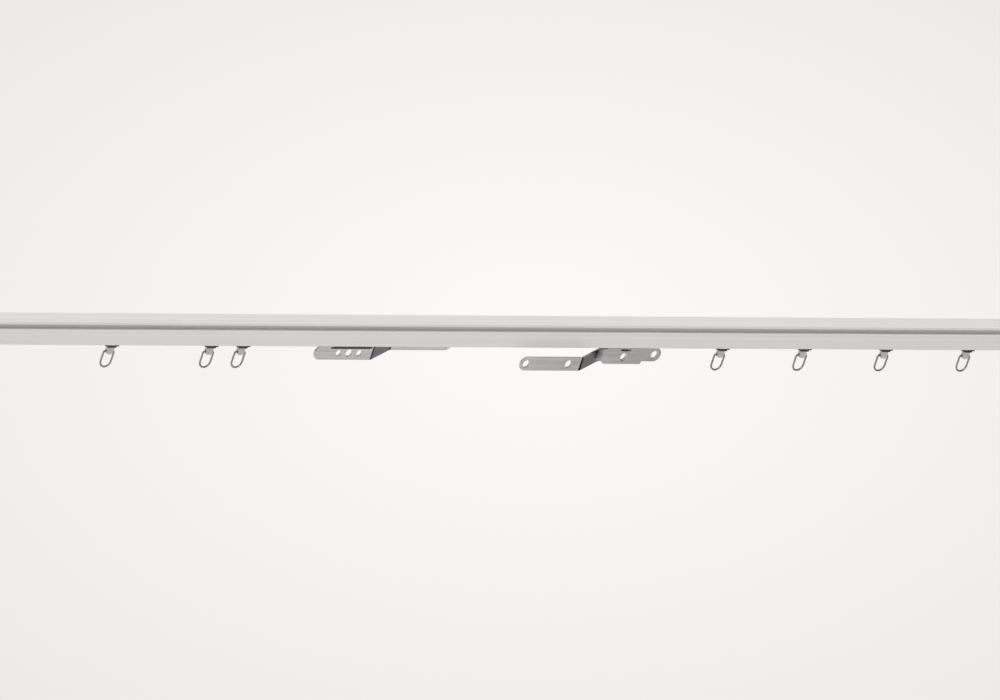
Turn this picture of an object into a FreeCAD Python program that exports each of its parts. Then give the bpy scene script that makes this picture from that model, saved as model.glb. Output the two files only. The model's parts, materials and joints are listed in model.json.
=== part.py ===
import FreeCAD, Part
import math
import os

import Sketcher
from FreeCAD import Placement, Rotation, Vector

# Driving dimensions in millimetres. A drop is measured down from the underside of the rail.
SIZES = {
    # Rail: an extruded profile with a flat head, two side grooves and a slotted channel
    "rail_length": 1100,
    "rail_width": 15,
    "head_thickness": 2.3,
    "groove_height": 4.3,
    "groove_depth": 3.5,
    "neck_wall": 1.3,
    "channel_height": 12.6,
    "channel_wall": 1.3,
    "lip_thickness": 1.5,
    "slot_width": 5.2,
    "rail_edge_radius": 0.4,
    # End caps
    "cap_plate_thickness": 2,
    "cap_corner_radius": 1,
    "cap_plug_length": 15,
    "cap_clearance": 0.1,
    # Wheels and axles, sized by the channel that they run in
    "wheel_width": 2.6,
    "wheel_headroom": 1.65,
    "wheel_side_gap": 0.6,
    "wheel_clearance": 0.02,
    "running_gap": 0.15,
    "axle_diameter": 2,
    "axle_end_gap": 0.5,
    "axle_clearance": 0.05,
    "slot_side_gap": 0.4,
    # Runner bodies and their guide shoes
    "stem_width": 6.2,
    "shoe_drop": 2.8,
    "shoe_length": 13.6,
    "shoe_width": 4.6,
    "shoe_corner_radius": 1.5,
    "shoe_bar_thickness": 0.8,
    "shoe_clearance": 0.05,
    "collar_length": 7.8,
    "collar_height": 1.1,
    "tongue_width": 6,
    "tongue_thickness": 3,
    "tongue_length": 6,
    "tongue_corner_radius": 2,
    # Wire loops that hang in the eyes of the tongues
    "eye_inset": 2.2,
    "eye_clearance": 0.1,
    "loop_wire": 1.4,
    "loop_side_gap": 1.2,
    "loop_corner_radius": 1.4,
    "loop_drop": 13,
    # Chassis of the two overlap carriers
    "chassis_length": 44,
    "chassis_gap": 0.5,
    "wheel_base": 26,
    "web_rise": 3.2,
    "bumper_length": 3,
    "bumper_side_gap": 0.5,
    "carrier_stem_length": 28,
    "foot_gap": 0.8,
    "foot_thickness": 1.1,
    "foot_reach": 3.6,
    "foot_back_reach": 3,
    "foot_lip_wall": 0.9,
    "foot_lip_drop": 1.8,
    "lug_thickness": 0.9,
    "lug_offset": 0.2,
    "lug_gap": 0.3,
    # Folded hangers, riveted under the chassis
    "hanger_length": 36.5,
    "hanger_thickness": 1.6,
    "hanger_bend_radius": 1.9,
    "left_hanger_leg": 12.4,
    "right_hanger_leg": 14,
    "hanger_wing": 3.1,
    "hanger_corner": 0.8,
    "hanger_clearance": 0.1,
    "window_length": 9.4,
    "window_height": 1.5,
    "window_margin": 0.1,
    "hook_slot_length": 31,
    "hook_slot_rise": 3.2,
    "hook_slot_fall": 3.6,
    "hook_slot_radius": 1.5,
    "rivet_diameter": 1.8,
    "rivet_head_diameter": 2.4,
    "rivet_head_height": 0.5,
    "rivet_spacing": 16,
    "rivet_offset": 0.9,
    "rivet_grip": 5,
    "rivet_clearance": 0.03,
    # Cranked strips of the overlap arms
    "strip_thickness": 1.5,
    "strip_height": 11.2,
    "strip_drop": 3.2,
    "notch_end_gap": 0.5,
    "notch_clearance": 1.8,
    "left_body_reach": 32.9,
    "right_body_reach": 36.9,
    "bend_start": 22.7,
    "bend_run": 30.3,
    "bend_offset": 16,
    "bend_inner_radius": 4,
    "arm_length": 59,
    "hole_diameter": 6,
    "low_hole_diameter": 6.6,
    "low_hole_drop": 1.3,
    "small_hole_diameter": 5,
    "small_hole_offset": 10,
    "tip_hole_inset": 5.6,
    "inner_hole_inset": 46.6,
    "end_hole_inset": 6.4,
    # Where each runner and carrier stands: a share of half the rail, from its middle
    "runner_1_share": -0.678,
    "runner_2_share": -0.5053,
    "runner_3_share": -0.4502,
    "runner_4_share": 0.3971,
    "runner_5_share": 0.544,
    "runner_6_share": 0.6907,
    "runner_7_share": 0.8389,
    "left_carrier_share": -0.2608,
    "right_carrier_share": 0.2237,
}
RUNNER_COUNT = 7
TOUCHING = 1e-7


class Size:
    """A number together with the spreadsheet formula that gives it."""

    def __init__(self, value, formula):
        self.value = value
        self.formula = formula

    def __add__(self, other):
        other = as_size(other)
        return Size(self.value + other.value, f"({self.formula} + {other.formula})")

    def __sub__(self, other):
        other = as_size(other)
        return Size(self.value - other.value, f"({self.formula} - {other.formula})")

    def __mul__(self, other):
        other = as_size(other)
        return Size(self.value * other.value, f"({self.formula} * {other.formula})")

    def __truediv__(self, other):
        other = as_size(other)
        return Size(self.value / other.value, f"({self.formula} / {other.formula})")

    def __neg__(self):
        return Size(-self.value, f"(0 - {self.formula})")

    def root(self):
        return Size(math.sqrt(self.value), f"sqrt({self.formula})")


def as_size(number):
    return number if isinstance(number, Size) else Size(number, str(number))


class Dimensions:
    """Every driving dimension, as an attribute that carries its spreadsheet formula."""

    def __init__(self, sheet):
        for row, (name, number) in enumerate(SIZES.items(), start=1):
            sheet.set(f"A{row}", name)
            sheet.set(f"B{row}", str(number))
            sheet.setAlias(f"B{row}", name)
            setattr(self, name, Size(number, f"{sheet.Name}.{name}"))


doc = FreeCAD.newDocument("curtain_track")
dim = Dimensions(doc.addObject("Spreadsheet::Sheet", "Sizes"))
doc.recompute()
nodes = []
ZERO = as_size(0)
UPRIGHT = Rotation(Vector(1, 0, 0), 90)

# Levels and widths that several pieces share
half_rail = dim.rail_length / 2
half_width = dim.rail_width / 2
groove_bottom = -(dim.head_thickness + dim.groove_height)
underside = groove_bottom - dim.channel_height
running_surface = underside + dim.lip_thickness
channel_roof = groove_bottom - dim.channel_wall
channel_half_width = half_width - dim.channel_wall
wheel_radius = (channel_roof - running_surface - dim.wheel_headroom - dim.running_gap) / 2
wheel_outer_face = channel_half_width - dim.wheel_side_gap
axle_level = running_surface + dim.running_gap + wheel_radius
axle_bore = dim.axle_diameter + dim.axle_clearance * 2
stem_thickness = dim.slot_width - dim.slot_side_gap * 2

shoe_top = underside - dim.shoe_drop
collar_bottom = shoe_top - dim.shoe_bar_thickness - dim.collar_height
tongue_bottom = collar_bottom - dim.tongue_length
eye_level = tongue_bottom + dim.eye_inset
loop_width = dim.tongue_width + dim.loop_wire + dim.loop_side_gap * 2

foot_top = underside - dim.foot_gap
flange_top = foot_top - dim.foot_thickness
flange_bottom = flange_top - dim.hanger_thickness
leg_inner_face = dim.strip_thickness / 2
leg_outer_face = leg_inner_face + dim.hanger_thickness
flange_reach = dim.foot_reach - dim.foot_lip_wall - dim.hanger_clearance
strip_top = underside - dim.strip_drop
strip_bottom = strip_top - dim.strip_height
notch_bottom = flange_bottom - dim.notch_clearance
hole_level = strip_bottom + dim.strip_height / 2
low_hole_level = hole_level - dim.low_hole_drop
strip_tip = dim.bend_start + dim.bend_run + dim.arm_length


def bind(item, place, size):
    item.setExpression(place, size.formula)


def stand(item, x=ZERO, y=ZERO, z=ZERO, rotation=Rotation()):
    """Place a finished piece and keep its position tied to the dimensions."""
    item.Placement = Placement(Vector(x.value, y.value, z.value), rotation)
    for axis, size in (("x", x), ("y", y), ("z", z)):
        bind(item, f"Placement.Base.{axis}", size)


def keep(item):
    """Add a finished piece to those that are written out."""
    nodes.append(item)
    return item


def add_body(name, several_solids=False):
    body = doc.addObject("PartDesign::Body", name)
    body.Label = name
    body.AllowCompound = several_solids
    return body


def add_sketch(body, name, plane, height=None):
    """A sketch on one of the body's own planes, raised by a height along the plane's normal."""
    sketch = body.newObject("Sketcher::SketchObject", f"{body.Name}_{name}")
    support = next(item for item in body.Origin.OriginFeatures if item.Role == plane)
    sketch.AttachmentSupport = (support, [""])
    sketch.MapMode = "FlatFace"
    if height is not None:
        sketch.AttachmentOffset = Placement(Vector(0, 0, height.value), Rotation())
        bind(sketch, "AttachmentOffset.Base.z", height)
    return sketch


def constrain(sketch, kind, element, point, size):
    index = sketch.addConstraint(Sketcher.Constraint(kind, element, point, size.value))
    bind(sketch, f"Constraints[{index}]", size)


def toward(start, end, distance):
    """The point that lies a distance from start on a level or upright edge to end."""
    (x, y), (end_x, end_y) = start, end
    if abs(end_x.value - x.value) > TOUCHING:
        return (x + distance if end_x.value > x.value else x - distance), y
    return x, (y + distance if end_y.value > y.value else y - distance)


def same_point(first, second):
    return all(abs(one.value - two.value) < TOUCHING for one, two in zip(first, second))


def draw_line(sketch, start, end):
    ends = [Vector(x.value, y.value, 0) for x, y in (start, end)]
    return sketch.addGeometry(Part.LineSegment(*ends)), 1, 2


def draw_corner(sketch, start, corner, end):
    """A quarter circle that touches the two edges of a square corner."""
    centre = [one + two - middle for one, two, middle in zip(start, end, corner)]
    middle = Vector(centre[0].value, centre[1].value, 0)
    arms = [Vector(x.value, y.value, 0) - middle for x, y in (start, end)]
    angles = [math.atan2(arm.y, arm.x) for arm in arms]
    turns_left = arms[0].cross(arms[1]).z > 0
    first, last = angles if turns_left else reversed(angles)
    circle = Part.Circle(middle, Vector(0, 0, 1), arms[0].Length)
    element = sketch.addGeometry(Part.ArcOfCircle(circle, first, last))
    return element, 1 if turns_left else 2, 2 if turns_left else 1, centre[0]


def draw_outline(sketch, corners):
    """A closed outline of (x, y) corners. A third value rounds a square corner to that radius."""
    points = [corner[:2] for corner in corners]
    arrive_points = []
    leave_points = []
    for index, corner in enumerate(corners):
        before, here, after = points[index - 1], points[index], points[(index + 1) % len(points)]
        rounded = len(corner) == 3
        arrive_points.append(toward(here, before, corner[2]) if rounded else here)
        leave_points.append(toward(here, after, corner[2]) if rounded else here)
    edges = []
    starts = []
    centres = []
    for index, corner in enumerate(corners):
        arrive, leave = arrive_points[index], leave_points[index]
        following = arrive_points[(index + 1) % len(corners)]
        if len(corner) == 3:
            element, first, last, centre = draw_corner(sketch, arrive, points[index], leave)
            edges.append((element, first, last))
            starts.append(arrive)
            centres.append((element, centre))
        if not same_point(leave, following):
            edges.append(draw_line(sketch, leave, following))
            starts.append(leave)
    for index, (element, first, _) in enumerate(edges):
        before, _, last = edges[index - 1]
        sketch.addConstraint(Sketcher.Constraint("Coincident", before, last, element, first))
        constrain(sketch, "DistanceX", element, first, starts[index][0])
        constrain(sketch, "DistanceY", element, first, starts[index][1])
    for element, centre in centres:
        constrain(sketch, "DistanceX", element, 3, centre)


def draw_rectangle(sketch, left, right, bottom, top):
    draw_outline(sketch, [(left, bottom), (right, bottom), (right, top), (left, top)])


def draw_circle(sketch, x, y, diameter):
    centre = Vector(x.value, y.value, 0)
    element = sketch.addGeometry(Part.Circle(centre, Vector(0, 0, 1), diameter.value / 2))
    constrain(sketch, "DistanceX", element, 3, x)
    constrain(sketch, "DistanceY", element, 3, y)
    index = sketch.addConstraint(Sketcher.Constraint("Diameter", element, diameter.value))
    bind(sketch, f"Constraints[{index}]", diameter)


def add_pad(body, sketch, length, symmetric=True):
    pad = body.newObject("PartDesign::Pad", f"{sketch.Name}_pad")
    pad.Profile = sketch
    pad.SideType = "Symmetric" if symmetric else "One side"
    bind(pad, "Length", length)
    return pad


def add_pocket(body, sketch, length=None):
    """A cut to both sides of its sketch: right through, or a length in all."""
    pocket = body.newObject("PartDesign::Pocket", f"{sketch.Name}_pocket")
    pocket.Profile = sketch
    pocket.SideType = "Symmetric"
    if length is None:
        pocket.Type = "ThroughAll"
    else:
        bind(pocket, "Length", length)
    return pocket


def edges_at(feature, direction, places):
    """Names of the straight edges along a direction whose middle lies at one of the places."""
    names = []
    for number, edge in enumerate(feature.Shape.Edges, start=1):
        start, end = edge.Vertexes[0].Point, edge.Vertexes[-1].Point
        along = (end - start).cross(direction).Length < TOUCHING
        middle = (start + end) / 2
        flat = middle - direction * middle.dot(direction)
        if along and any((flat - place).Length < TOUCHING for place in places):
            names.append(f"Edge{number}")
    return names


def add_edge_treatment(body, kind, name, radius_name, radius, direction, places):
    """A fillet or a chamfer on the edges of the body so far that lie at the places."""
    doc.recompute()
    base = body.Tip
    feature = body.newObject(f"PartDesign::{kind}", f"{body.Name}_{name}")
    feature.Base = (base, edges_at(base, direction, places))
    bind(feature, radius_name, radius)
    return feature


def make_rail():
    body = keep(add_body("rail"))
    sketch = add_sketch(body, "profile", "YZ_Plane")
    edge = dim.rail_edge_radius
    neck = half_width - dim.groove_depth
    chamber = neck - dim.neck_wall
    slot = dim.slot_width / 2
    right_half = [
        (half_width, ZERO, edge),
        (half_width, -dim.head_thickness, edge),
        (neck, -dim.head_thickness),
        (neck, groove_bottom),
        (half_width, groove_bottom, edge),
        (half_width, underside, edge),
        (slot, underside),
        (slot, running_surface),
        (channel_half_width, running_surface),
        (channel_half_width, channel_roof),
        (chamber, channel_roof),
        (chamber, -dim.head_thickness),
    ]
    left_half = [(-corner[0], *corner[1:]) for corner in reversed(right_half)]
    draw_outline(sketch, right_half + left_half)
    add_pad(body, sketch, dim.rail_length)


def make_end_cap(name, end, rotation):
    """A moulded plate over the end of the rail, with a plug that fills the channel."""
    body = keep(add_body(name))
    plate = add_sketch(body, "plate", "YZ_Plane", -dim.cap_plate_thickness)
    corner = dim.cap_corner_radius
    draw_outline(plate, [
        (-half_width, underside, corner),
        (half_width, underside, corner),
        (half_width, ZERO, corner),
        (-half_width, ZERO, corner),
    ])
    add_pad(body, plate, dim.cap_plate_thickness, symmetric=False)
    plug = add_sketch(body, "plug", "YZ_Plane")
    plug_side = channel_half_width - dim.cap_clearance
    plug_bottom = running_surface + dim.cap_clearance
    draw_rectangle(plug, -plug_side, plug_side, plug_bottom, channel_roof - dim.cap_clearance)
    add_pad(body, plug, dim.cap_plug_length, symmetric=False)
    stand(body, x=end, rotation=rotation)


def make_axle(name, x):
    axle = keep(doc.addObject("Part::Cylinder", name))
    axle.Label = name
    length = (channel_half_width - dim.axle_end_gap) * 2
    bind(axle, "Radius", dim.axle_diameter / 2)
    bind(axle, "Height", length)
    stand(axle, x, length / 2, axle_level, UPRIGHT)


def make_wheels(name, x):
    """The pair of wheels on one axle, turned about it from two sections."""
    body = keep(add_body(name, several_solids=True))
    sketch = add_sketch(body, "section", "YZ_Plane")
    bore = dim.axle_diameter / 2 + dim.wheel_clearance
    inner_face = wheel_outer_face - dim.wheel_width
    draw_rectangle(sketch, inner_face, wheel_outer_face, bore, wheel_radius)
    draw_rectangle(sketch, -wheel_outer_face, -inner_face, bore, wheel_radius)
    turned = body.newObject("PartDesign::Revolution", f"{name}_turned")
    turned.Profile = sketch
    turned.ReferenceAxis = (sketch, ["H_Axis"])
    stand(body, x=x, z=axle_level)


def make_runner_body(name, x):
    """A stem that rises through the slot to the axle, over a thinner tongue with an eye."""
    body = keep(add_body(name))
    stem = add_sketch(body, "stem", "XZ_Plane")
    side = dim.stem_width / 2
    draw_outline(stem, [
        (-side, shoe_top),
        (side, shoe_top),
        (side, axle_level + side, side),
        (-side, axle_level + side, side),
    ])
    add_pad(body, stem, stem_thickness)
    tongue = add_sketch(body, "tongue", "XZ_Plane")
    half_tongue = dim.tongue_width / 2
    draw_outline(tongue, [
        (-half_tongue, tongue_bottom, dim.tongue_corner_radius),
        (half_tongue, tongue_bottom, dim.tongue_corner_radius),
        (half_tongue, underside),
        (-half_tongue, underside),
    ])
    add_pad(body, tongue, dim.tongue_thickness)
    bore = add_sketch(body, "axle_bore", "XZ_Plane")
    draw_circle(bore, ZERO, axle_level, axle_bore)
    add_pocket(body, bore)
    eye = add_sketch(body, "eye", "YZ_Plane")
    draw_circle(eye, ZERO, eye_level, dim.loop_wire + dim.eye_clearance * 2)
    add_pocket(body, eye)
    stand(body, x=x)


def make_guide_shoe(name, x):
    """A bar with a collar under it, pushed up the tongue against the stem's shoulders."""
    body = keep(add_body(name))
    side = add_sketch(body, "side", "XZ_Plane")
    half_bar = dim.shoe_length / 2
    half_collar = dim.collar_length / 2
    bar_bottom = shoe_top - dim.shoe_bar_thickness
    draw_outline(side, [
        (-half_collar, collar_bottom),
        (half_collar, collar_bottom),
        (half_collar, bar_bottom),
        (half_bar, bar_bottom),
        (half_bar, shoe_top),
        (-half_bar, shoe_top),
        (-half_bar, bar_bottom),
        (-half_collar, bar_bottom),
    ])
    add_pad(body, side, dim.shoe_width)
    hole = add_sketch(body, "tongue_hole", "XY_Plane")
    half_hole = dim.tongue_width / 2 + dim.shoe_clearance
    half_gap = dim.tongue_thickness / 2 + dim.shoe_clearance
    draw_rectangle(hole, -half_hole, half_hole, -half_gap, half_gap)
    add_pocket(body, hole)
    half_shoe = dim.shoe_width.value / 2
    bar_corners = [
        Vector(half_bar.value * along, half_shoe * across, 0)
        for along in (-1, 1)
        for across in (-1, 1)
    ]
    rounding = dim.shoe_corner_radius
    add_edge_treatment(body, "Fillet", "ends", "Radius", rounding, Vector(0, 0, 1), bar_corners)
    stand(body, x=x)


def add_rod(name, length, x, z, rotation):
    """A straight stretch of the loop's wire."""
    rod = doc.addObject("Part::Cylinder", name)
    bind(rod, "Radius", dim.loop_wire / 2)
    bind(rod, "Height", length)
    stand(rod, x=x, z=z, rotation=rotation)
    return rod


def add_bend(name, radius, sweep, x, z, start_angle):
    """A bend of the loop's wire in the XZ plane, turned from a start angle."""
    bend = doc.addObject("Part::Torus", name)
    bind(bend, "Radius1", radius)
    bind(bend, "Radius2", dim.loop_wire / 2)
    bend.Angle3 = sweep
    stand(bend, x=x, z=z, rotation=UPRIGHT.multiply(Rotation(Vector(0, 0, 1), start_angle)))
    return bend


def make_loop(name, x):
    """A closed loop of round wire: its top bar lies in the eye, its foot is a half circle."""
    corner = dim.loop_corner_radius
    side = loop_width / 2
    foot_centre = eye_level - dim.loop_drop + side
    side_length = dim.loop_drop - side - corner
    bar_end = side - corner
    loop = keep(doc.addObject("Part::MultiFuse", name))
    loop.Label = name
    loop.Shapes = [
        add_rod(f"{name}_bar", bar_end * 2, -bar_end, eye_level, Rotation(Vector(0, 1, 0), 90)),
        add_bend(f"{name}_right_bend", corner, 90, bar_end, eye_level - corner, 0),
        add_bend(f"{name}_left_bend", corner, 90, -bar_end, eye_level - corner, 90),
        add_rod(f"{name}_right_side", side_length, side, foot_centre, Rotation()),
        add_rod(f"{name}_left_side", side_length, -side, foot_centre, Rotation()),
        add_bend(f"{name}_foot", side, 180, ZERO, foot_centre, 180),
    ]
    stand(loop, x=x)


def make_runner(number):
    runner = f"runner_{number}"
    x = getattr(dim, f"{runner}_share") * half_rail
    make_runner_body(f"{runner}_body", x)
    make_guide_shoe(f"{runner}_guide_shoe", x)
    make_axle(f"{runner}_axle", x)
    make_wheels(f"{runner}_wheels", x)
    make_loop(f"{runner}_loop", x)


def make_chassis(name, x, rotation):
    """A moulded web between four wheels, on a stem whose foot holds the hanger."""
    body = keep(add_body(name))
    web_top = axle_level + dim.web_rise
    web_bottom = running_surface + dim.chassis_gap
    half_chassis = dim.chassis_length / 2
    half_stem = dim.carrier_stem_length / 2
    web = add_sketch(body, "web", "XZ_Plane")
    draw_outline(web, [
        (-half_stem, flange_top),
        (half_stem, flange_top),
        (half_stem, web_bottom),
        (half_chassis, web_bottom),
        (half_chassis, web_top),
        (-half_chassis, web_top),
        (-half_chassis, web_bottom),
        (-half_stem, web_bottom),
    ])
    add_pad(body, web, stem_thickness)
    bumpers = add_sketch(body, "bumpers", "XZ_Plane")
    bumper = half_chassis - dim.bumper_length
    draw_rectangle(bumpers, bumper, half_chassis, web_bottom, web_top)
    draw_rectangle(bumpers, -half_chassis, -bumper, web_bottom, web_top)
    add_pad(body, bumpers, (channel_half_width - dim.bumper_side_gap) * 2)
    foot = add_sketch(body, "foot", "YZ_Plane")
    lip_bottom = flange_top - dim.foot_lip_drop
    lip_back = dim.foot_lip_wall - dim.foot_reach
    draw_outline(foot, [
        (-dim.foot_reach, lip_bottom),
        (lip_back, lip_bottom),
        (lip_back, flange_top),
        (dim.foot_back_reach, flange_top),
        (dim.foot_back_reach, foot_top),
        (-dim.foot_reach, foot_top),
    ])
    add_pad(body, foot, dim.hanger_length)
    lug = add_sketch(body, "lug", "YZ_Plane")
    lug_front = -dim.lug_offset - dim.lug_thickness / 2
    lug_back = -dim.lug_offset + dim.lug_thickness / 2
    draw_rectangle(lug, lug_front, lug_back, notch_bottom + dim.lug_gap, foot_top)
    add_pad(body, lug, dim.window_length - dim.lug_gap * 2)
    bores = add_sketch(body, "axle_bores", "XZ_Plane")
    rivets = add_sketch(body, "rivet_holes", "XY_Plane", flange_top)
    for side in (-1, 1):
        draw_circle(bores, dim.wheel_base * side / 2, axle_level, axle_bore)
        draw_rivet_circle(rivets, side, dim.rivet_diameter + dim.rivet_clearance * 2)
    add_pocket(body, bores)
    add_pocket(body, rivets, dim.rivet_grip * 2)
    stand(body, x=x, rotation=rotation)


def draw_rivet_circle(sketch, side, diameter):
    draw_circle(sketch, dim.rivet_spacing * side / 2, -dim.rivet_offset, diameter)


def make_rivets(name, x, rotation):
    """Two rivets that hold the hanger's flange, with heads flush in its underside."""
    body = keep(add_body(name, several_solids=True))
    shanks = add_sketch(body, "shanks", "XY_Plane", flange_bottom)
    heads = add_sketch(body, "heads", "XY_Plane", flange_bottom)
    for side in (-1, 1):
        draw_rivet_circle(shanks, side, dim.rivet_diameter)
        draw_rivet_circle(heads, side, dim.rivet_head_diameter)
    add_pad(body, shanks, dim.hanger_thickness + dim.rivet_grip, symmetric=False)
    add_pad(body, heads, dim.rivet_head_height, symmetric=False)
    stand(body, x=x, rotation=rotation)


def draw_hook_slot(sketch):
    """A long slot that clears the hooks in a row of holes."""
    half_length = dim.hook_slot_length / 2
    bottom = hole_level - dim.hook_slot_fall
    top = hole_level + dim.hook_slot_rise
    draw_outline(sketch, [
        (-half_length, bottom, dim.hook_slot_radius),
        (half_length, bottom, dim.hook_slot_radius),
        (half_length, top, dim.hook_slot_radius),
        (-half_length, top, dim.hook_slot_radius),
    ])


def draw_window_and_hole(sketch):
    """A window that shows the chassis lug, over the hole for one hook."""
    half_length = dim.window_length / 2
    top = flange_bottom - dim.window_margin
    draw_rectangle(sketch, -half_length, half_length, top - dim.window_height, top)
    draw_circle(sketch, ZERO, low_hole_level, dim.low_hole_diameter)


def make_hanger(name, x, rotation, leg, draw_leg_openings):
    """A folded plate: a flange under the chassis and a leg beside the arm strip."""
    body = keep(add_body(name))
    section = add_sketch(body, "section", "YZ_Plane")
    leg_bottom = flange_top - leg
    inner_radius = dim.hanger_bend_radius - dim.hanger_thickness
    draw_outline(section, [
        (-flange_reach, flange_bottom),
        (leg_inner_face, flange_bottom, inner_radius),
        (leg_inner_face, leg_bottom),
        (leg_outer_face, leg_bottom),
        (leg_outer_face, flange_top, dim.hanger_bend_radius),
        (-flange_reach, flange_top),
    ])
    add_pad(body, section, dim.hanger_length)
    half_length = dim.hanger_length / 2
    place = Vector(-half_length.value, 0, leg_bottom.value)
    add_edge_treatment(body, "Chamfer", "corner", "Size", dim.hanger_corner, Vector(0, 1, 0), [place])
    wing = add_sketch(body, "wing", "XZ_Plane", -(leg_inner_face + leg_outer_face) / 2)
    wing_top = flange_bottom - dim.window_margin
    draw_outline(wing, [
        (half_length - dim.hanger_wing, leg_bottom),
        (half_length, leg_bottom),
        (half_length + dim.hanger_wing, leg_bottom + dim.hanger_wing),
        (half_length + dim.hanger_wing, wing_top),
        (half_length - dim.hanger_wing, wing_top),
    ])
    add_pad(body, wing, dim.hanger_thickness)
    openings = add_sketch(body, "leg_openings", "XZ_Plane")
    draw_leg_openings(openings)
    add_pocket(body, openings, leg_outer_face * 2)
    lug_slot = add_sketch(body, "lug_slot", "XY_Plane", flange_bottom + dim.hanger_thickness / 2)
    half_slot = dim.window_length / 2
    slot_reach = dim.lug_thickness / 2 + dim.lug_gap
    draw_rectangle(lug_slot, -half_slot, half_slot, -dim.lug_offset - slot_reach, slot_reach - dim.lug_offset)
    add_pocket(body, lug_slot, dim.hanger_thickness)
    shanks = add_sketch(body, "rivet_holes", "XY_Plane")
    heads = add_sketch(body, "rivet_seats", "XY_Plane", flange_bottom)
    for side in (-1, 1):
        draw_rivet_circle(shanks, side, dim.rivet_diameter + dim.rivet_clearance * 2)
        draw_rivet_circle(heads, side, dim.rivet_head_diameter + dim.rivet_clearance * 2)
    add_pocket(body, shanks)
    add_pocket(body, heads, dim.rivet_head_height * 2)
    stand(body, x=x, rotation=rotation)


def make_strip_plan(name, body_reach):
    """The strip seen from above: two straight runs joined by a cranked one."""
    body = add_body(name)
    plan = add_sketch(body, "plan", "XY_Plane", strip_bottom)
    half = dim.strip_thickness / 2
    slope = (dim.bend_run * dim.bend_run + dim.bend_offset * dim.bend_offset).root()
    miter = half * (slope - dim.bend_run) / dim.bend_offset
    bend_end = dim.bend_start + dim.bend_run
    near_back = (dim.bend_start - miter, half)
    near_front = (dim.bend_start + miter, -half)
    far_back = (bend_end - miter, dim.bend_offset + half)
    far_front = (bend_end + miter, dim.bend_offset - half)
    draw_outline(plan, [
        (-body_reach, -half),
        near_front,
        far_front,
        (strip_tip, dim.bend_offset - half),
        (strip_tip, dim.bend_offset + half),
        far_back,
        near_back,
        (-body_reach, half),
    ])
    add_pad(body, plan, dim.strip_height, symmetric=False)
    bends = (
        ("inner_bends", dim.bend_inner_radius, (near_back, far_front)),
        ("outer_bends", dim.bend_inner_radius + dim.strip_thickness, (near_front, far_back)),
    )
    for feature, radius, points in bends:
        places = [Vector(px.value, py.value, 0) for px, py in points]
        add_edge_treatment(body, "Fillet", feature, "Radius", radius, Vector(0, 0, 1), places)
    return body


def make_strip_face(name, body_reach, hole_pattern):
    """The strip seen from the front: round ends, a notch for the hanger's flange, and holes."""
    body = add_body(name)
    face = add_sketch(body, "face", "XZ_Plane")
    end_radius = dim.strip_height / 2
    half_notch = dim.hanger_length / 2 + dim.notch_end_gap
    draw_outline(face, [
        (-body_reach, strip_bottom, end_radius),
        (strip_tip, strip_bottom, end_radius),
        (strip_tip, strip_top, end_radius),
        (half_notch, strip_top),
        (half_notch, notch_bottom),
        (-half_notch, notch_bottom),
        (-half_notch, strip_top),
        (-body_reach, strip_top, end_radius),
    ])
    for along, level, diameter in hole_pattern:
        draw_circle(face, along, level, diameter)
    add_pad(body, face, (dim.bend_offset + dim.strip_thickness) * 2)
    return body


def make_arm(name, x, rotation, body_reach, hole_pattern):
    arm = keep(doc.addObject("Part::Common", name))
    arm.Label = name
    arm.Base = make_strip_plan(f"{name}_plan", body_reach)
    arm.Tool = make_strip_face(f"{name}_face", body_reach, hole_pattern)
    stand(arm, x=x, rotation=rotation)


def make_carrier(side, rotation, draw_leg_openings, body_holes):
    """One overlap carrier. The right one is the left one turned half round about Z."""
    carrier = f"{side}_carrier"
    body_reach = getattr(dim, f"{side}_body_reach")
    leg = getattr(dim, f"{side}_hanger_leg")
    x = getattr(dim, f"{carrier}_share") * half_rail
    arm_holes = [
        (strip_tip - dim.tip_hole_inset, hole_level, dim.hole_diameter),
        (strip_tip - dim.inner_hole_inset, hole_level, dim.hole_diameter),
    ]
    make_chassis(f"{carrier}_chassis", x, rotation)
    make_hanger(f"{carrier}_hanger", x, rotation, leg, draw_leg_openings)
    make_rivets(f"{carrier}_rivets", x, rotation)
    make_arm(f"{carrier}_arm", x, rotation, body_reach, body_holes + arm_holes)
    outward = dim.wheel_base / 2 if x.value > 0 else -dim.wheel_base / 2
    for place, axle_x in (("outer", x + outward), ("inner", x - outward)):
        make_axle(f"{carrier}_{place}_axle", axle_x)
        make_wheels(f"{carrier}_{place}_wheels", axle_x)


def check_document():
    """Stop if any feature failed, a cut removed nothing, or a piece is not a valid solid."""
    for item in doc.Objects:
        if "Invalid" in item.State or "Error" in item.State:
            raise RuntimeError(f"{item.Label} failed: {item.State}")
        if item.TypeId == "PartDesign::Pocket" and item.Shape.Volume >= item.BaseFeature.Shape.Volume:
            raise RuntimeError(f"{item.Label} cuts nothing")
    for node in nodes:
        if node.Shape.isNull() or not node.Shape.isValid() or not node.Shape.Solids:
            raise RuntimeError(f"{node.Label} has no valid solid")


turned_round = Rotation(Vector(0, 0, 1), 180)
left_holes = [
    (-dim.small_hole_offset, hole_level, dim.small_hole_diameter),
    (ZERO, hole_level, dim.hole_diameter),
    (dim.small_hole_offset, hole_level, dim.small_hole_diameter),
]
right_holes = [
    (ZERO, low_hole_level, dim.low_hole_diameter),
    (dim.end_hole_inset - dim.right_body_reach, hole_level, dim.hole_diameter),
]

make_rail()
make_end_cap("left_end_cap", -half_rail, Rotation())
make_end_cap("right_end_cap", half_rail, turned_round)
for runner_number in range(1, RUNNER_COUNT + 1):
    make_runner(runner_number)
make_carrier("left", Rotation(), draw_hook_slot, left_holes)
make_carrier("right", turned_round, draw_window_and_hole, right_holes)

doc.recompute()
check_document()
os.makedirs("parts", exist_ok=True)
for node in nodes:
    node.Shape.exportStep(f"parts/{node.Label}.step")
print(f"{len(nodes)} pieces written")
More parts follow.
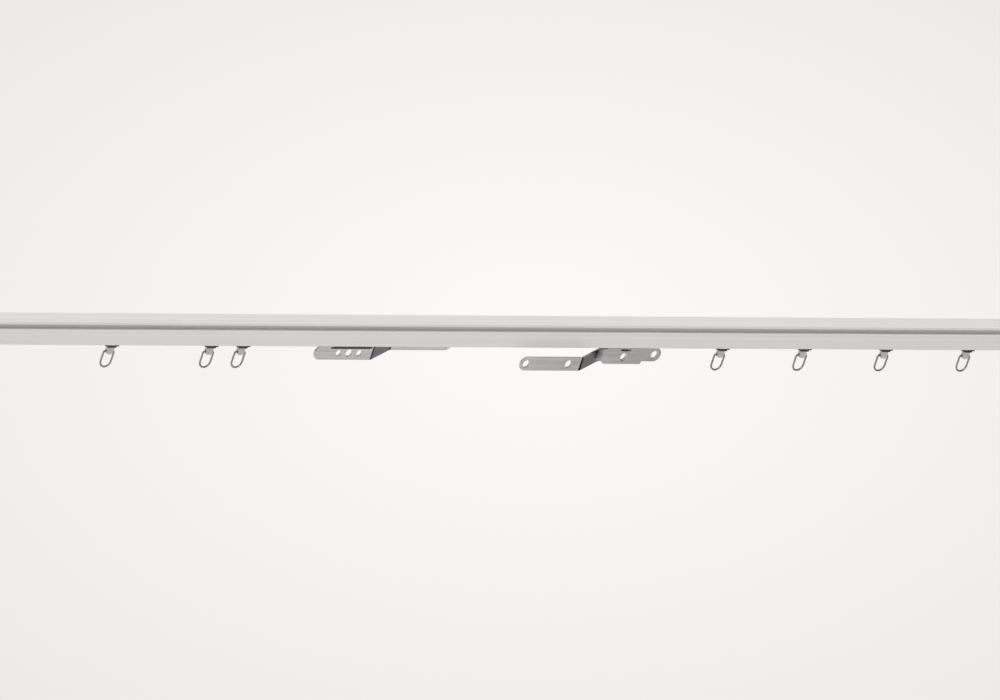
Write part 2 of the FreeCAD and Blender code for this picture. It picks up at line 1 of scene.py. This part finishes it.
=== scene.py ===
import json
import math

import bpy
from mathutils import Matrix, Vector


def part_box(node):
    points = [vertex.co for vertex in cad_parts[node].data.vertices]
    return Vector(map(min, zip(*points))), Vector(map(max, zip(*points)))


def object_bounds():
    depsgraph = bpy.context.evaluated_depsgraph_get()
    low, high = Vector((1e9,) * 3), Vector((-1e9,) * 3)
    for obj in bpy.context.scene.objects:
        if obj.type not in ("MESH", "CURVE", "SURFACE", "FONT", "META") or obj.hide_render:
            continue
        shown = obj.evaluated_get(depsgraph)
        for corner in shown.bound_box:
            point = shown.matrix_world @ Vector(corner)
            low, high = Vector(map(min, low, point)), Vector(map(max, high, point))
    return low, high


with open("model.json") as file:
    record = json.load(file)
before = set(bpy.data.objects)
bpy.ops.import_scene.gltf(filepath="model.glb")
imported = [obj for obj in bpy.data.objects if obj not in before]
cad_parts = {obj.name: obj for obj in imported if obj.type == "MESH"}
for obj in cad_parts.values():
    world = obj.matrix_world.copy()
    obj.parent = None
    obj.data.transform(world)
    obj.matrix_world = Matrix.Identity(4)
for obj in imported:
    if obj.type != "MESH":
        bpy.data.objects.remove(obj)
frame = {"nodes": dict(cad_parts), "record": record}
cad_low, cad_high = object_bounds()
nodes = frame["nodes"]
slot_of_node = {part["node"]: part["material_slot"] for part in frame["record"]["subparts"]}

MM = 0.001

# The photograph's view, in degrees, and the width that it shows in the plane of the rail
VIEW_AZIMUTH = -43.4
VIEW_ELEVATION = 20.7
VIEW_ROLL = 18.80
VIEW_WIDTH = 0.745
LENS_MM = 1100.0
SENSOR_MM = 36.0
RAIL_ABOVE_CENTRE = 5.22 * MM
CLIP_START = 1.0
CLIP_END_DISTANCES = 3

# The floor lies well below the rail, as under a track on its ceiling
FLOOR_DROP = 0.60
FLOOR_LEVEL = cad_low.z - FLOOR_DROP
FLOOR_SIZE = 40.0
FLOOR_COLOUR = (0.941, 0.919, 0.900)
FLOOR_ROUGHNESS = 0.9

# The pool of light painted on the floor, as it lies in the view: its middle, its half width and height,
# and its fade
LIGHT_POOL_MIDDLE = (0.030, 0.008)
LIGHT_POOL_WIDTH = 0.395
LIGHT_POOL_HEIGHT = 0.246
LIGHT_POOL_FADE = 0.093
LIGHT_POOL_REACH = 1.7

# Lights
WORLD_COLOUR = (1.0, 0.995, 0.985, 1)
WORLD_STRENGTH = 0.55
KEY_ENERGY = 2.1
KEY_SOFTNESS = math.radians(30)
TOWARD_KEY = Vector((-0.62, -0.25, 0.74))

# Cards that only the metal sees. The dark and the grey one stand side by side, the upper one above them
CARD_DISTANCE = 1.0
CARD_DARK_FROM = -0.84
CARD_GREY_FROM = 0.06
CARD_UPPER_FROM = 0.3
CARD_END = 1.8
CARD_SEAM = 0.0
CARD_TOP = 1.0
CARD_DARK = 0.0
CARD_GREY = 0.27
CARD_UPPER_GREY = 0.05

# Edges that a hand would feel as rounded. On the rail they lie close together and give each other room
EDGE_ROUNDING = {
    "rail_metal": 0.25 * MM,
    "cap_plastic": 0.3 * MM,
    "runner_plastic": 0.2 * MM,
    "dark_plastic": 0.15 * MM,
    "wheel_plastic": 0.15 * MM,
    "steel_pin": 0.1 * MM,
    "arm_steel": 0.15 * MM,
}
CROWDED_EDGES = ("rail_metal",)
HANGER_ROUNDING = 0.04 * MM
EDGE_ANGLE = math.radians(35)
EDGE_SEGMENTS = 2
FLAT_ANGLE = math.radians(1)
SEAM = 0.001 * MM
SLIVER = 0.003 * MM

# Noise: the span in which most of it lies, and the ways in which it is drawn out
NOISE_LOW = 0.3
NOISE_HIGH = 0.7
NOISE_DETAIL = 3.0
EVEN = (1.0, 1.0, 1.0)
ALONG_RAIL = (0.02, 1.0, 1.0)
ALONG_STRIP = (0.02, 0.02, 1.0)
ACROSS_RAIL = (1.0, 0.03, 1.0)

# The rail's coat: its draw lines, its cloudiness and its grain
RAIL_COLOUR = (0.742, 0.733, 0.717)
RAIL_ROUGHNESS = (0.42, 0.52)
RAIL_LINES_SCALE = 350.0
RAIL_LINES_STRETCH = (0.003, 1.0, 1.0)
RAIL_LINES_SHARE = 0.05
RAIL_CLOUD_SCALE = 12.0
RAIL_CLOUD_SHARE = 0.01
RAIL_GRAIN_SCALE = 1500.0
RAIL_GRAIN_HEIGHT = 0.02 * MM
RAIL_GRAIN_STRENGTH = 0.25

# Shade painted into the rail's colour inside its side grooves
GROOVE_MIDDLE = -4.45 * MM
GROOVE_HALF_HEIGHT = 2.5 * MM
GROOVE_MOUTH = 7.45 * MM
PAINTED_GROOVE_SHADE_DEPTH = 0.5 * MM
PAINTED_GROOVE_SHADE = 0.90

# The plastics: the colour and roughness of each, and the cloudiness and grain of all
PLASTICS = {
    "cap_plastic": ((0.60, 0.595, 0.58), (0.45, 0.55)),
    "runner_plastic": ((0.62, 0.62, 0.615), (0.40, 0.50)),
    # Near black: partly the moulding's own black, partly painted shade for the dark just under the rail
    "dark_plastic": ((0.045, 0.045, 0.046), (0.40, 0.50)),
    "wheel_plastic": ((0.55, 0.55, 0.54), (0.35, 0.45)),
}
PLASTIC_CLOUD_SCALE = 120.0
PLASTIC_CLOUD_SHARE = 0.05
PLASTIC_GRAIN_SCALE = 2500.0
PLASTIC_GRAIN_HEIGHT = 0.03 * MM
PLASTIC_GRAIN_STRENGTH = 0.4

# The steels: the colour, roughness and run of the lines of each, and the lines and cloudiness of all
STEELS = {
    "steel_pin": ((0.50, 0.50, 0.50), (0.22, 0.34), ACROSS_RAIL),
    "loop_wire": ((0.32, 0.32, 0.325), (0.24, 0.36), ALONG_RAIL),
    "arm_steel": ((0.582, 0.574, 0.586), (0.16, 0.25), ALONG_STRIP),
}
STEEL_LINES_SCALE = 380.0
STEEL_LINES_SHARE = 0.20
STEEL_LINES_HEIGHT = 0.01 * MM
STEEL_LINES_STRENGTH = 0.35
STEEL_CLOUD_SCALE = 60.0
STEEL_CLOUD_SHARE = 0.05


def view_axes():
    """Right, up and back of the camera, rolled about its line of sight."""
    azimuth = math.radians(VIEW_AZIMUTH)
    elevation = math.radians(VIEW_ELEVATION)
    roll = math.radians(VIEW_ROLL)
    level = math.cos(elevation)
    back = Vector((math.sin(azimuth) * level, -math.cos(azimuth) * level, math.sin(elevation)))
    level_right = Vector((math.cos(azimuth), math.sin(azimuth), 0))
    level_up = back.cross(level_right)
    right = level_right * math.cos(roll) + level_up * math.sin(roll)
    return right, back.cross(right), back


def view_target(up):
    """The point that the middle of the picture shows, just under the rail's slot."""
    rail_low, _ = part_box("rail")
    return Vector((0, 0, rail_low.z)) - up * RAIL_ABOVE_CENTRE


def add_camera():
    """A long lens that shows the view's width in the plane of the rail."""
    right, up, back = view_axes()
    distance = VIEW_WIDTH * LENS_MM / SENSOR_MM
    data = bpy.data.cameras.new("camera")
    data.lens = LENS_MM
    data.sensor_width = SENSOR_MM
    data.clip_start = CLIP_START
    data.clip_end = distance * CLIP_END_DISTANCES
    camera = bpy.data.objects.new("camera", data)
    turn = Matrix((right, up, back)).transposed().to_4x4()
    camera.matrix_world = Matrix.Translation(view_target(up) + back * distance) @ turn
    bpy.context.scene.collection.objects.link(camera)
    bpy.context.scene.camera = camera


def new_material(name):
    """A new material, its node tree and its surface shader."""
    material = bpy.data.materials.new(name)
    material.use_nodes = True
    tree = material.node_tree
    return material, tree, tree.nodes["Principled BSDF"]


def add_math(tree, operation, *inputs):
    """A math node whose inputs are sockets or plain numbers."""
    node = tree.nodes.new("ShaderNodeMath")
    node.operation = operation
    for socket, value in zip(node.inputs, inputs):
        if isinstance(value, bpy.types.NodeSocket):
            tree.links.new(value, socket)
        else:
            socket.default_value = value
    return node.outputs["Value"]


def multiply(tree, first, second):
    return add_math(tree, "MULTIPLY", first, second)


def add_vector_math(tree, operation, first, constant):
    """A vector math node on a socket and a fixed vector."""
    node = tree.nodes.new("ShaderNodeVectorMath")
    node.operation = operation
    tree.links.new(first, node.inputs[0])
    node.inputs[1].default_value = constant
    return node.outputs["Value" if operation == "DOT_PRODUCT" else "Vector"]


def add_range(tree, factor, start, end, low, high):
    """Carry a factor from one span to another and keep it there."""
    node = tree.nodes.new("ShaderNodeMapRange")
    node.inputs["From Min"].default_value = start
    node.inputs["From Max"].default_value = end
    node.inputs["To Min"].default_value = low
    node.inputs["To Max"].default_value = high
    tree.links.new(factor, node.inputs["Value"])
    return node.outputs["Result"]


def scale_colour(tree, colour, factor):
    """A plain colour made lighter or darker by a factor."""
    node = tree.nodes.new("ShaderNodeVectorMath")
    node.operation = "SCALE"
    node.inputs[0].default_value = colour
    tree.links.new(factor, node.inputs["Scale"])
    return node.outputs["Vector"]


def object_place(tree):
    """The place of a point on its own piece."""
    return tree.nodes.new("ShaderNodeTexCoord").outputs["Object"]


def stretched_noise(tree, scale, stretch=EVEN):
    """Noise on the piece, drawn out along the axes whose stretch is small."""
    mapping = tree.nodes.new("ShaderNodeMapping")
    mapping.inputs["Scale"].default_value = stretch
    noise = tree.nodes.new("ShaderNodeTexNoise")
    noise.inputs["Scale"].default_value = scale
    noise.inputs["Detail"].default_value = NOISE_DETAIL
    tree.links.new(object_place(tree), mapping.inputs["Vector"])
    tree.links.new(mapping.outputs["Vector"], noise.inputs["Vector"])
    return noise.outputs["Fac"]


def spread(tree, noise, low, high):
    """Carry a noise onto the span from low to high."""
    return add_range(tree, noise, NOISE_LOW, NOISE_HIGH, low, high)


def drift(tree, noise, share):
    """A factor about 1 that drifts by a share to each side with a noise."""
    return spread(tree, noise, 1 - share, 1 + share)


def add_bump(tree, shader, height, distance, strength):
    """Raise the surface by a pattern."""
    bump = tree.nodes.new("ShaderNodeBump")
    bump.inputs["Strength"].default_value = strength
    bump.inputs["Distance"].default_value = distance
    tree.links.new(height, bump.inputs["Height"])
    tree.links.new(bump.outputs["Normal"], shader.inputs["Normal"])


def painted_groove_shade(tree):
    """Painted shade: 1 on the open faces of the rail and darker inside its side grooves."""
    split = tree.nodes.new("ShaderNodeSeparateXYZ")
    tree.links.new(object_place(tree), split.inputs["Vector"])
    depth = add_math(tree, "ABSOLUTE", split.outputs["Y"])
    inside = add_range(tree, depth, GROOVE_MOUTH, GROOVE_MOUTH - PAINTED_GROOVE_SHADE_DEPTH, 0.0, 1.0)
    level = add_math(tree, "COMPARE", split.outputs["Z"], GROOVE_MIDDLE, GROOVE_HALF_HEIGHT)
    shaded = multiply(tree, inside, level)
    return add_range(tree, shaded, 0.0, 1.0, 1.0, PAINTED_GROOVE_SHADE)


def make_rail_metal():
    """Satin grey coat over an extrusion, with faint draw lines along the rail and shade painted inside its
    grooves.
    """
    material, tree, shader = new_material("rail_metal")
    lines = stretched_noise(tree, RAIL_LINES_SCALE, RAIL_LINES_STRETCH)
    cloud = stretched_noise(tree, RAIL_CLOUD_SCALE)
    grain = stretched_noise(tree, RAIL_GRAIN_SCALE)
    streaks = multiply(tree, drift(tree, lines, RAIL_LINES_SHARE), drift(tree, cloud, RAIL_CLOUD_SHARE))
    # The tone also darkens the colour inside the grooves: painted shade
    tone = multiply(tree, streaks, painted_groove_shade(tree))
    tree.links.new(scale_colour(tree, RAIL_COLOUR, tone), shader.inputs["Base Color"])
    tree.links.new(spread(tree, lines, *RAIL_ROUGHNESS), shader.inputs["Roughness"])
    add_bump(tree, shader, grain, RAIL_GRAIN_HEIGHT, RAIL_GRAIN_STRENGTH)
    return material


def make_plastic(name, colour, roughness):
    """Moulded plastic with a fine spark-eroded grain."""
    material, tree, shader = new_material(name)
    cloud = stretched_noise(tree, PLASTIC_CLOUD_SCALE)
    grain = stretched_noise(tree, PLASTIC_GRAIN_SCALE)
    tone = drift(tree, cloud, PLASTIC_CLOUD_SHARE)
    tree.links.new(scale_colour(tree, colour, tone), shader.inputs["Base Color"])
    tree.links.new(spread(tree, cloud, *roughness), shader.inputs["Roughness"])
    add_bump(tree, shader, grain, PLASTIC_GRAIN_HEIGHT, PLASTIC_GRAIN_STRENGTH)
    return material


def make_steel(name, colour, roughness, stretch):
    """Plated steel with fine rolling lines along the stretch."""
    material, tree, shader = new_material(name)
    shader.inputs["Metallic"].default_value = 1.0
    lines = stretched_noise(tree, STEEL_LINES_SCALE, stretch)
    cloud = stretched_noise(tree, STEEL_CLOUD_SCALE)
    tone = multiply(tree, drift(tree, lines, STEEL_LINES_SHARE), drift(tree, cloud, STEEL_CLOUD_SHARE))
    tree.links.new(scale_colour(tree, colour, tone), shader.inputs["Base Color"])
    tree.links.new(spread(tree, lines, *roughness), shader.inputs["Roughness"])
    add_bump(tree, shader, lines, STEEL_LINES_HEIGHT, STEEL_LINES_STRENGTH)
    return material


def make_materials():
    """The finish of each slot."""
    materials = {"rail_metal": make_rail_metal()}
    for name, (colour, roughness) in PLASTICS.items():
        materials[name] = make_plastic(name, colour, roughness)
    for name, (colour, roughness, stretch) in STEELS.items():
        materials[name] = make_steel(name, colour, roughness, stretch)
    return materials


def round_edges(item, slot, width):
    """Join the facets of a piece and round its sharp edges a little."""
    item.modifiers.new("weld", "WELD").merge_threshold = SEAM
    flats = item.modifiers.new("flats", "DECIMATE")
    flats.decimate_type = "DISSOLVE"
    flats.angle_limit = FLAT_ANGLE
    bevel = item.modifiers.new("edges", "BEVEL")
    bevel.width = width
    bevel.segments = EDGE_SEGMENTS
    bevel.limit_method = "ANGLE"
    bevel.angle_limit = EDGE_ANGLE
    bevel.use_clamp_overlap = slot in CROWDED_EDGES
    item.modifiers.new("slivers", "WELD").merge_threshold = SLIVER
    item.modifiers.new("shading", "WEIGHTED_NORMAL").keep_sharp = True


def dress_nodes():
    """Give each CAD piece the material of its slot, and soften its edges."""
    materials = make_materials()
    for name, item in nodes.items():
        slot = slot_of_node[name]
        item.data.materials.clear()
        item.data.materials.append(materials[slot])
        if name.endswith("_hanger"):
            round_edges(item, slot, HANGER_ROUNDING)
        elif slot in EDGE_ROUNDING:
            round_edges(item, slot, EDGE_ROUNDING[slot])


def add_sheet(name, corners, material):
    """A flat four-cornered sheet of the studio."""
    mesh = bpy.data.meshes.new(name)
    mesh.from_pydata(corners, [], [(0, 1, 2, 3)])
    mesh.materials.append(material)
    sheet = bpy.data.objects.new(name, mesh)
    bpy.context.scene.collection.objects.link(sheet)
    return sheet


def make_floor_with_painted_light():
    """Pale floor paint with a pool of light painted into it, fading from the pool's middle, measured along
    the view's right and up.
    """
    material, tree, shader = new_material("floor")
    right, up, _ = view_axes()
    middle = view_target(up) + right * LIGHT_POOL_MIDDLE[0] + up * LIGHT_POOL_MIDDLE[1]
    place = tree.nodes.new("ShaderNodeNewGeometry").outputs["Position"]
    offset = add_vector_math(tree, "SUBTRACT", place, middle)
    across = add_vector_math(tree, "DOT_PRODUCT", offset, right / LIGHT_POOL_WIDTH)
    along = add_vector_math(tree, "DOT_PRODUCT", offset, up / LIGHT_POOL_HEIGHT)
    squares = add_math(tree, "ADD", multiply(tree, across, across), multiply(tree, along, along))
    radius = add_math(tree, "SQRT", squares)
    # Painted pool of light: the floor's colour fades with the distance from the pool's middle
    painted_light_fade = add_range(tree, radius, 0.0, LIGHT_POOL_REACH, 1.0, 1.0 - LIGHT_POOL_FADE * LIGHT_POOL_REACH)
    tree.links.new(scale_colour(tree, FLOOR_COLOUR, painted_light_fade), shader.inputs["Base Color"])
    shader.inputs["Roughness"].default_value = FLOOR_ROUGHNESS
    shader.inputs["Specular IOR Level"].default_value = 0.0
    return material


def add_floor():
    """A pale floor with a soft pool of light painted on it behind the rail."""
    half = FLOOR_SIZE / 2
    corners = [
        (-half, -half, FLOOR_LEVEL),
        (half, -half, FLOOR_LEVEL),
        (half, half, FLOOR_LEVEL),
        (-half, half, FLOOR_LEVEL),
    ]
    add_sheet("floor", corners, make_floor_with_painted_light())


def make_card_paint(name, grey):
    """A flat grey that needs no light."""
    material = bpy.data.materials.new(name)
    material.use_nodes = True
    tree = material.node_tree
    tree.nodes.clear()
    glow = tree.nodes.new("ShaderNodeEmission")
    glow.inputs["Color"].default_value = (grey, grey, grey, 1)
    output = tree.nodes.new("ShaderNodeOutputMaterial")
    tree.links.new(glow.outputs["Emission"], output.inputs["Surface"])
    return material


def add_card(name, start, end, bottom, top, grey):
    """A card that stands across the rail's line and shows only as a reflection."""
    corners = [
        (CARD_DISTANCE, start, bottom),
        (CARD_DISTANCE, end, bottom),
        (CARD_DISTANCE, end, top),
        (CARD_DISTANCE, start, top),
    ]
    card = add_sheet(name, corners, make_card_paint(name, grey))
    card.visible_camera = False
    card.visible_diffuse = False
    card.visible_shadow = False
    card.visible_transmission = False


def add_cards():
    add_card("dark_card", CARD_DARK_FROM, CARD_GREY_FROM, FLOOR_LEVEL, CARD_SEAM, CARD_DARK)
    add_card("grey_card", CARD_GREY_FROM, CARD_END, FLOOR_LEVEL, CARD_SEAM, CARD_GREY)
    add_card("upper_card", CARD_UPPER_FROM, CARD_END, CARD_SEAM, CARD_TOP, CARD_UPPER_GREY)


def add_lights():
    """A pale world and one broad soft key."""
    world = bpy.data.worlds.new("studio")
    world.use_nodes = True
    background = world.node_tree.nodes["Background"]
    background.inputs["Color"].default_value = WORLD_COLOUR
    background.inputs["Strength"].default_value = WORLD_STRENGTH
    bpy.context.scene.world = world
    sun = bpy.data.lights.new("key", "SUN")
    sun.energy = KEY_ENERGY
    sun.angle = KEY_SOFTNESS
    lamp = bpy.data.objects.new("key", sun)
    lamp.rotation_euler = TOWARD_KEY.to_track_quat("Z", "Y").to_euler()
    bpy.context.scene.collection.objects.link(lamp)


add_camera()
dress_nodes()
add_floor()
add_cards()
add_lights()
bpy.context.scene.view_settings.view_transform = "Standard"
